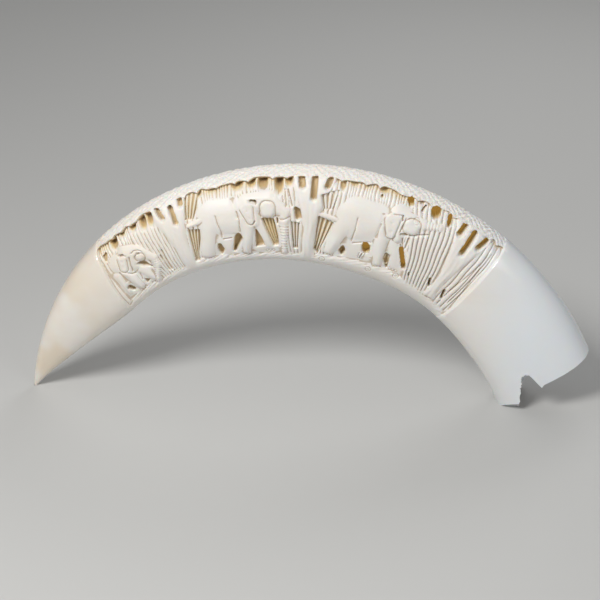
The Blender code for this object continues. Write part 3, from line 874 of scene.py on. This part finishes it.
def tube(name, rings):
    """A closed tube through rings of points, its ends filled."""
    count, around = rings.shape[:2]
    bm = bmesh.new()
    bmesh.ops.create_grid(bm, x_segments=count - 1, y_segments=around, size=1)
    for vert in bm.verts:
        ring = round((vert.co.x + 1) / 2 * (count - 1))
        turn = round((vert.co.y + 1) / 2 * around) % around
        vert.co = rings[ring, turn]
    bmesh.ops.remove_doubles(bm, verts=bm.verts, dist=WELD)
    bmesh.ops.holes_fill(bm, edges=[edge for edge in bm.edges if edge.is_boundary], sides=0)
    return finished(bm, name)


def tooth_rings(step, leaf_height):
    """Points of the outer surface with its carving, ring by ring."""
    steps = round(FRONT_RUN / step)
    front_height, front_depth = section_walk(steps)
    back_height, back_depth = section_walk(round(steps * BACK_COARSENESS))
    angle = ring_angles(step)[:, None]
    middle, half_height, half_thickness = half_sizes(angle)

    def half(height, depth, side):
        radius = middle + half_height * height[None, :]
        y = side * half_thickness * depth[None, :]
        angles = np.broadcast_to(angle, radius.shape)
        lifted = radius + leaf_lift(angles, radius, y, leaf_height)
        return place(angles, lifted, carve(angles, radius, y, side))

    front = half(front_height[:-1], front_depth[:-1], FRONT)
    back = half(back_height[:0:-1], back_depth[:0:-1], BACK)
    return np.concatenate([front, back], axis=1)


def hollow_rings(wall):
    """The pulp cavity: the shape of the tooth drawn in, which ends in a blunt cone."""
    share = np.sin(np.linspace(0, math.pi / 2, HOLLOW_RINGS))
    angle = (HOLLOW_START_ANGLE + (HOLLOW_END_ANGLE - HOLLOW_START_ANGLE) * share)[:, None]
    middle, half_height, half_thickness = half_sizes(np.maximum(angle, ROOT_ANGLE))
    narrowing = np.sqrt(1 - np.minimum(share, 0.9995) ** 2)[:, None]
    thickness = (THICKNESS / 2 - wall) * narrowing
    height, depth = section_walk(HOLLOW_STEPS)
    height = np.concatenate([height[:-1], height[:0:-1]])
    depth = np.concatenate([-depth[:-1], depth[:0:-1]])
    reach = np.maximum(half_height - half_thickness + thickness, thickness * 0.8)
    radius = middle + reach * height[None, :]
    return place(np.broadcast_to(angle, radius.shape), radius, thickness * depth)


def prism(name, outline, start_y, end_y):
    """A flat outline of (x, z) millimetres drawn out along Y."""
    bm = bmesh.new()
    face = bm.faces.new([bm.verts.new((x * MM, start_y * MM, z * MM)) for x, z in outline])
    grown = bmesh.ops.extrude_face_region(bm, geom=[face])
    moved = [part for part in grown["geom"] if isinstance(part, bmesh.types.BMVert)]
    bmesh.ops.translate(bm, verts=moved, vec=(0, (end_y - start_y) * MM, 0))
    return finished(bm, name)


def saw_outline():
    """What lies beyond the sawn end: a long slope, and a steeper one across the lip."""
    far = 80.0
    slope = math.radians(SAW_SLOPE)
    lip = math.radians(LIP_SLOPE)
    x, z = SAW_CORNER
    return [
        (x, z),
        (x - far * math.cos(lip), z - far * math.sin(lip)),
        (x + far, z - far),
        (x + far * math.cos(slope), z + far * math.sin(slope)),
    ]


def break_outline():
    """The chip out of the near wall: an upright side, a ragged round top and a slope to the saw cut."""
    centre_x = BREAK_LEFT_X + BREAK_RADIUS
    centre_z = BREAK_TOP_Z - BREAK_RADIUS
    slope = math.radians(BREAK_RIGHT_SLOPE)
    outline = [(BREAK_LEFT_X, -20.0)]
    for z in np.arange(0.5, centre_z, 1.1):
        outline.append((BREAK_LEFT_X + 0.35 * math.sin(z * 2.7) + 0.25 * math.sin(z * 1.1) + 0.5, z))
    for turn in np.linspace(math.pi, math.pi / 2 - slope, 14):
        reach = BREAK_RADIUS - 0.25 - 0.22 * math.sin(turn * 9)
        outline.append((centre_x + reach * math.cos(turn), centre_z + reach * math.sin(turn)))
    outline.append((outline[-1][0] + 40 * math.cos(slope), outline[-1][1] - 40 * math.sin(slope)))
    return outline


def slot_outline(slot, ragged):
    """A slot with round ends, as (x, z), its rim pushed to and fro by up to `ragged`."""
    top = place(slot.top_angle, slot.top, 0.0) / MM
    bottom = place(slot.bottom_angle, slot.bottom, 0.0) / MM
    lie = math.atan2(top[2] - bottom[2], top[0] - bottom[0])
    half = slot.width / 2
    outline = []
    for end, first in ((top, lie - math.pi / 2), (bottom, lie + math.pi / 2)):
        for turn in np.linspace(first, first + math.pi, 9):
            outline.append((end[0] + half * math.cos(turn), end[2] + half * math.sin(turn)))
    rim = []
    for start, stop in zip(outline, outline[1:] + outline[:1]):
        for share in np.arange(0, 1, min(1, RIM_STEP / math.dist(start, stop))):
            x = start[0] + (stop[0] - start[0]) * share
            z = start[1] + (stop[1] - start[1]) * share
            rim.append((x + ragged * math.sin(2.9 * z), z + ragged * math.sin(3.3 * x)))
    return rim


def underside():
    """What lies below the tooth: flat under both feet, and rising beside the worn lip."""
    reach = 60.0
    flat = LIP_FLAT_WIDTH / 2
    rise = (reach - flat) * math.tan(math.radians(LIP_WEAR_SLOPE))
    outline = [(-reach, -reach), (reach, -reach), (reach, rise), (flat, 0), (-flat, 0), (-reach, rise)]
    mesh = prism("underside", outline, -UNDER_REACH, UNDER_REACH)
    mesh.transform(Matrix.Rotation(math.radians(90), 4, "Z"))
    return mesh


def add_object(data, name=None, collection=None):
    """A new object in a collection, or in the scene itself."""
    obj = bpy.data.objects.new(name or data.name, data)
    (collection or bpy.context.scene.collection).objects.link(obj)
    return obj


def add_cut(obj, name, **what):
    """Cuts an object or a collection out of an object, and leaves triangles."""
    cut = obj.modifiers.new(name, "BOOLEAN")
    cut.operation = "DIFFERENCE"
    cut.solver = "EXACT"
    cut.operand_type = "COLLECTION" if "collection" in what else "OBJECT"
    for key, value in what.items():
        setattr(cut, key, value)
    obj.modifiers.new("cut faces", "TRIANGULATE").ngon_method = "CLIP"
    bake(obj)


def cut_and_thin(obj, wall, face_limit):
    """Opens the hollow, the saw cut, the break and the gaps, flattens the feet and thins the mesh."""
    openings = bpy.data.collections.new("openings")
    bpy.context.scene.collection.children.link(openings)
    cutters = [
        tube("hollow", hollow_rings(wall / MM)),
        prism("saw_cut", saw_outline(), -CUT_REACH, CUT_REACH),
        prism("lip_break", break_outline(), -CUT_REACH, BREAK_REACH_Y),
    ]
    for i, slot in enumerate(OPEN_TREE.slots + OPEN_GAPS):
        outline = slot_outline(slot, RAGGED_RIM if slot in OPEN_GAPS else 0.0)
        cutters.append(prism(f"gap_{i + 1}", outline, -CUT_REACH, OPEN_REACH_Y))
    for mesh in cutters:
        add_object(mesh, collection=openings)
    below = add_object(underside())

    obj.modifiers.new("triangles", "TRIANGULATE")
    add_cut(obj, "openings", collection=openings)
    count = len(obj.data.polygons)
    if count > face_limit:
        obj.modifiers.new("thin", "DECIMATE").ratio = face_limit / count
        bake(obj)
    add_cut(obj, "standing flats", object=below)
    for old in [*openings.objects, below]:
        bpy.data.meshes.remove(old.data)
    bpy.data.collections.remove(openings)
    tidy_mesh(obj.data)


def tidy_mesh(mesh):
    """Closes what the cuts left open, keeps the mesh in the solid's box and marks the sawn edges."""
    bm = bmesh.new()
    bm.from_mesh(mesh)
    bmesh.ops.dissolve_degenerate(bm, dist=2 * WELD, edges=bm.edges)
    bmesh.ops.remove_doubles(bm, verts=bm.verts, dist=WELD)
    crowded = [edge for edge in bm.edges if len(edge.link_faces) > 2]
    bmesh.ops.delete(bm, geom=list({face for edge in crowded for face in edge.link_faces}), context="FACES")
    rim = [edge for edge in bm.edges if edge.is_boundary]
    filled = bmesh.ops.holes_fill(bm, edges=rim, sides=0)["faces"]
    bmesh.ops.triangulate(bm, faces=filled)
    bmesh.ops.delete(bm, geom=[edge for edge in bm.edges if edge.is_wire], context="EDGES")
    bmesh.ops.delete(bm, geom=[vert for vert in bm.verts if not vert.link_faces], context="VERTS")
    bmesh.ops.recalc_face_normals(bm, faces=bm.faces)
    low, high = CAD_BOX
    for vert in bm.verts:
        vert.co = [min(max(value, a), b) for value, a, b in zip(vert.co, low, high)]
    root_edge = (BEND_CENTRE[0] + ROOT_EDGE_RADIUS * math.cos(math.radians(ROOT_EDGE_ANGLE))) * MM
    for edge in bm.edges:
        if edge.verts[0].co.x > root_edge and edge.is_manifold:
            edge.smooth = edge.calc_face_angle() < SHARP_ANGLE
    bm.to_mesh(mesh)
    bm.free()


def bake(obj):
    """Puts the result of an object's modifiers into its mesh."""
    graph = bpy.context.evaluated_depsgraph_get()
    done = bpy.data.meshes.new_from_object(obj.evaluated_get(graph))
    obj.modifiers.clear()
    old = obj.data
    obj.data = done
    bpy.data.meshes.remove(old)


def read_array(items, key, kind, width):
    """One property of every item of a mesh, as rows of numbers."""
    values = np.empty(len(items) * width, kind)
    items.foreach_get(key, values)
    return values.reshape(-1, width)


def set_attribute(mesh, name, values):
    layer = mesh.attributes.new(name, "FLOAT", "POINT")
    layer.data.foreach_set("value", values.astype(np.float32))


def depth_below_skin(y, angle, radius):
    """Millimetres from the polished surface down to each point, along Y or across the crest."""
    middle, half_height, half_thickness = half_sizes(np.clip(angle, ROOT_ANGLE, TIP_ANGLE))
    off_middle = np.abs(radius - middle)
    share = np.clip(off_middle / half_height, 0, 1)
    skin = half_thickness * (1 - share**SECTION_POWER) ** (1 / SECTION_POWER)
    depth = np.maximum(skin - np.abs(y) / MM, 0)
    return np.minimum(depth, 2.2 * np.maximum(half_height - off_middle, 0))


def smoothed(values, starts, ends, rounds):
    """Values averaged with their neighbours along the edges of the mesh."""
    count = np.bincount(starts, minlength=len(values)) + np.bincount(ends, minlength=len(values)) + 1.0
    for _ in range(rounds):
        total = values.copy()
        for axis in range(values.shape[1]):
            total[:, axis] += np.bincount(starts, values[ends, axis], len(values))
            total[:, axis] += np.bincount(ends, values[starts, axis], len(values))
        values = total / count[:, None]
    return values


def crevices(mesh, points, rounds):
    """How far each point lies below the average of what surrounds it, in millimetres."""
    starts, ends = read_array(mesh.edges, "vertices", np.int64, 2).T
    normals = read_array(mesh.vertices, "normal", float, 3)
    average = smoothed(points, starts, ends, rounds)
    return ((average - points) * normals).sum(1) / MM


def mark_surface(mesh):
    """Attributes that the ivory reads: depth, crevices and where the surface is carved."""
    points = read_array(mesh.vertices, "co", float, 3)
    x, y, z = points.T
    x = x / MM - BEND_CENTRE[0]
    z = z / MM - BEND_CENTRE[1]
    angle = np.degrees(np.arctan2(z, x))
    radius = np.hypot(x, z)
    depth = depth_below_skin(y, angle, radius)
    carved = carved_share(angle, radius)
    # The depth attribute places the painted shade of the pockets and deepest gaps, and the painted glow over
    # the hollow root
    set_attribute(mesh, "depth", depth * carved * np.where(y < 0, 1.0, 1 / BACK_SHARE))
    set_attribute(mesh, "carved", carved)
    # The crevice attribute places the painted shade along the creases, weaker on the leaves
    creases = crevices(mesh, points, rounds=4) * 6 + crevices(mesh, points, rounds=24) * 1.2
    buried = eased((depth - 0.35) / 1.2)
    off_leaves = 1 - 0.75 * eased((radius - canopy_edge_radius(angle)) / 0.6)
    set_attribute(mesh, "crevice", np.clip(creases, -1, 1) * carved * buried * off_leaves)


def node_group(name, inputs, outputs):
    group = bpy.data.node_groups.new(name, "ShaderNodeTree")
    for in_out, sockets in (("INPUT", inputs), ("OUTPUT", outputs)):
        for socket, kind in sockets.items():
            group.interface.new_socket(socket, in_out=in_out, socket_type=f"NodeSocket{kind}")
    return group, group.nodes.new("NodeGroupInput"), group.nodes.new("NodeGroupOutput")


def feed(tree, socket, value):
    """Links a socket to another one, or sets it to a number or a colour."""
    if isinstance(value, bpy.types.NodeSocket):
        tree.links.new(value, socket)
    else:
        socket.default_value = (*value, 1) if isinstance(value, tuple) else value


def math_node(tree, operation, *values):
    node = tree.nodes.new("ShaderNodeMath")
    node.operation = operation
    for socket, value in zip(node.inputs, values):
        feed(tree, socket, value)
    return node.outputs[0]


def ranged(tree, value, low, high, to_low=0.0, to_high=1.0):
    node = tree.nodes.new("ShaderNodeMapRange")
    node.interpolation_type = "SMOOTHSTEP"
    for socket, given in zip(node.inputs, (value, low, high, to_low, to_high)):
        feed(tree, socket, given)
    return node.outputs["Result"]


def mixed(tree, kind, *values):
    """The result of a Mix node of this kind with a share, a first value and a second one."""
    node = tree.nodes.new("ShaderNodeMix")
    node.data_type = kind
    *inputs, result = MIX_SOCKETS[kind]
    for index, value in zip(inputs, values):
        feed(tree, node.inputs[index], value)
    return node.outputs[result]


def noise(tree, vector, scale, detail, roughness=0.5, stretch=None):
    if stretch:
        mapping = tree.nodes.new("ShaderNodeMapping")
        mapping.inputs["Scale"].default_value = stretch
        tree.links.new(vector, mapping.inputs["Vector"])
        vector = mapping.outputs["Vector"]
    node = tree.nodes.new("ShaderNodeTexNoise")
    for socket, value in (("Vector", vector), ("Scale", scale), ("Detail", detail), ("Roughness", roughness)):
        feed(tree, node.inputs[socket], value)
    return node.outputs["Fac"]


def aged_ivory_and_painted_shade_group():
    """Colour, roughness and tool marks of carved and polished ivory, with painted shade in its pockets,
    deepest gaps and creases, and a painted glow in the deep gaps over the hollow root.
    """
    group, entry, leave = node_group(
        "aged ivory and painted shade",
        {**dict.fromkeys(COLOUR_NAMES, "Color"), **dict.fromkeys(MASK_NAMES, "Float")},
        {"Color": "Color", "Roughness": "Float", "Marks": "Float", "Gloss": "Float", "Glow": "Color"},
    )
    given = entry.outputs
    where = group.nodes.new("ShaderNodeTexCoord").outputs["Object"]
    parts = group.nodes.new("ShaderNodeSeparateXYZ")
    group.links.new(where, parts.inputs[0])
    x = parts.outputs["X"]

    blotch = noise(group, where, 26, 3)
    streak = noise(group, where, 30, 4, 0.6, (0.35, 1, 1))
    fine = noise(group, where, 900, 3)

    tip_share = math_node(
        group, "MULTIPLY", ranged(group, x, *TIP_REACH), ranged(group, blotch, 0.38, 0.56, 0.15, 1.0),
    )
    mottle = math_node(group, "MULTIPLY", ranged(group, streak, 0.42, 0.68), 0.30)
    cool = math_node(group, "MULTIPLY", ranged(group, x, *ROOT_REACH), 0.85)
    # Painted shade: tan in the pockets and dark brown in the deepest gaps, set by depth made uneven with
    # blotches, and tan along the creases by the crevice attribute
    uneven = math_node(group, "MULTIPLY_ADD", blotch, 1.6, given["Depth"])
    crease_shade = math_node(group, "MULTIPLY", ranged(group, given["Crevice"], 0.10, 0.9), 0.6)
    colour = given["Ivory"]
    for share, name in (
        (tip_share, "Tip"),
        (mottle, "Tip"),
        (cool, "Root"),
        (ranged(group, uneven, *POCKET_SHADE_DEPTHS), "Pocket"),
        (ranged(group, uneven, *DEEP_SHADE_DEPTHS), "Deep"),
        (crease_shade, "Crease_shade"),
    ):
        colour = mixed(group, "RGBA", share, colour, given[name])

    deep = ranged(group, given["Depth"], *GLOW_DEPTHS)
    lit = math_node(group, "MULTIPLY", deep, ranged(group, x, *GLOW_REACH))
    carved_rough = ranged(group, fine, 0.3, 0.7, *CARVED_ROUGHNESS)
    polished_rough = ranged(group, streak, 0.35, 0.7, *POLISHED_ROUGHNESS)
    for name, value in (
        ("Color", colour),
        ("Roughness", mixed(group, "FLOAT", given["Carved"], polished_rough, carved_rough)),
        ("Marks", math_node(group, "MULTIPLY", fine, given["Carved"])),
        ("Gloss", ranged(group, given["Carved"], 0.0, 1.0, POLISHED_GLOSS, CARVED_GLOSS)),
        ("Glow", mixed(group, "RGBA", lit, (0, 0, 0), given["Glow"])),
    ):
        group.links.new(value, leave.inputs[name])
    return group


def new_material(name):
    """A material and its shader."""
    material = bpy.data.materials.new(name)
    material.use_nodes = True
    return material, material.node_tree.nodes["Principled BSDF"]


def ivory_material(colours, grain_height):
    material, shader = new_material("carved ivory")
    tree = material.node_tree
    ivory = tree.nodes.new("ShaderNodeGroup")
    ivory.node_tree = aged_ivory_and_painted_shade_group()
    for name in COLOUR_NAMES:
        ivory.inputs[name].default_value = (*getattr(colours, name.lower()), 1)
    for name in MASK_NAMES:
        layer = tree.nodes.new("ShaderNodeAttribute")
        layer.attribute_name = name.lower()
        tree.links.new(layer.outputs["Fac"], ivory.inputs[name])
    bump = tree.nodes.new("ShaderNodeBump")
    bump.inputs["Distance"].default_value = grain_height
    tree.links.new(ivory.outputs["Marks"], bump.inputs["Height"])
    for socket, value in (
        ("Base Color", ivory.outputs["Color"]),
        ("Roughness", ivory.outputs["Roughness"]),
        ("Coat Weight", ivory.outputs["Gloss"]),
        ("Emission Color", ivory.outputs["Glow"]),
        ("Normal", bump.outputs["Normal"]),
        ("Emission Strength", GLOW_STRENGTH),
        ("Metallic", 0),
        ("IOR", IVORY_IOR),
        ("Coat Roughness", 0.12),
        ("Subsurface Weight", 0.35),
        ("Subsurface Scale", SCATTER_DEPTH),
    ):
        feed(tree, shader.inputs[socket], value)
    shader.inputs["Subsurface Radius"].default_value = SCATTER_RADIUS
    return material


class TUSK_OT_carved_tusk(bpy.types.Operator):
    """Builds the tusk with its fine carving in the place of its plain solid"""

    bl_idname = "tusk.carved_tusk"
    bl_label = "Carved tusk"
    bl_options = {"REGISTER", "UNDO"}

    def execute(self, context):
        sizes = context.scene.tusk_sizes
        step = sizes.carved_step * 1.0
        mesh = tube("carved ivory tusk", tooth_rings(step, sizes.leaf_height / MM))
        tusk = add_object(mesh, "carved_ivory")
        tusk.data.shade_smooth()
        cut_and_thin(tusk, sizes.wall, sizes.face_limit)
        mark_surface(tusk.data)
        tusk.data.materials.append(ivory_material(context.scene.tusk_colours, sizes.grain_height))
        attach(tusk, "root")
        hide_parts("carved_tusk")
        return {"FINISHED"}


def area_light(name, at, size, power, colour=(1, 1, 1)):
    light = bpy.data.lights.new(name, "AREA")
    light.shape = "DISK"
    light.size = size
    light.energy = power
    light.color = colour
    obj = add_object(light)
    obj.location = at
    obj.rotation_euler = (Vector(at) - Vector(VIEW_MIDDLE)).to_track_quat("Z", "Y").to_euler()


class TUSK_OT_stage(bpy.types.Operator):
    """Sets a pale floor, soft studio lights and the camera"""

    bl_idname = "tusk.stage"
    bl_label = "Stage"
    bl_options = {"REGISTER", "UNDO"}

    def execute(self, context):
        scene = context.scene
        values = scene.tusk_stage
        bm = bmesh.new()
        bmesh.ops.create_grid(bm, x_segments=1, y_segments=1, size=3)
        mesh = bpy.data.meshes.new("floor")
        bm.to_mesh(mesh)
        bm.free()
        floor = add_object(mesh)
        material, shader = new_material("floor")
        shader.inputs["Base Color"].default_value = (*values.floor, 1)
        shader.inputs["Roughness"].default_value = 0.8
        floor.data.materials.append(material)

        area_light("key", (-0.30, -0.48, 0.72), 0.28, values.key_power, (1.0, 0.99, 0.97))
        area_light("fill", (0.55, -0.75, 0.45), 0.6, values.fill_power, (0.96, 0.98, 1.0))
        area_light("rim", (0.25, 0.6, 0.6), 0.4, values.fill_power * 0.8)
        scene.world = bpy.data.worlds.new("studio")
        scene.world.use_nodes = True
        background = scene.world.node_tree.nodes["Background"]
        background.inputs["Color"].default_value = (1, 1, 1, 1)
        background.inputs["Strength"].default_value = 0.26
        scene.view_settings.view_transform = "Standard"

        rise = math.radians(VIEW_ELEVATION)
        turn = math.radians(VIEW_TURN)
        level = math.cos(rise)
        back = Vector((math.sin(turn) * level, -math.cos(turn) * level, math.sin(rise)))
        camera = bpy.data.cameras.new("camera")
        camera.sensor_width = SENSOR
        camera.lens = SENSOR * values.distance / (PHOTO_WIDTH * PIXEL)
        camera.clip_start = 0.01
        scene.camera = add_object(camera)
        scene.camera.location = Vector(VIEW_MIDDLE) + back * values.distance
        scene.camera.rotation_euler = back.to_track_quat("Z", "Y").to_euler()
        return {"FINISHED"}


class TUSK_PT_panel(bpy.types.Panel):
    """Sizes, colours and builders of the carved tusk"""

    bl_idname = "TUSK_PT_panel"
    bl_label = "Carved tusk"
    bl_space_type = "VIEW_3D"
    bl_region_type = "UI"
    bl_category = "Tusk"

    def draw(self, context):
        layout = self.layout
        for values in (context.scene.tusk_sizes, context.scene.tusk_colours, context.scene.tusk_stage):
            box = layout.box()
            for name in values.bl_rna.properties.keys():
                if name not in {"rna_type", "name"}:
                    box.prop(values, name)
        layout.operator(TUSK_OT_carved_tusk.bl_idname)
        layout.operator(TUSK_OT_stage.bl_idname)


CLASSES = (TuskSizes, IvoryColours, StageValues, TUSK_OT_carved_tusk, TUSK_OT_stage, TUSK_PT_panel)


def register():
    for cls in CLASSES:
        bpy.utils.register_class(cls)
    bpy.types.Scene.tusk_sizes = PointerProperty(type=TuskSizes)
    bpy.types.Scene.tusk_colours = PointerProperty(type=IvoryColours)
    bpy.types.Scene.tusk_stage = PointerProperty(type=StageValues)


def unregister():
    del bpy.types.Scene.tusk_stage
    del bpy.types.Scene.tusk_colours
    del bpy.types.Scene.tusk_sizes
    for cls in reversed(CLASSES):
        bpy.utils.unregister_class(cls)


def main():
    register()
    bpy.ops.tusk.carved_tusk()
    bpy.ops.tusk.stage()


if __name__ == "__main__":
    main()
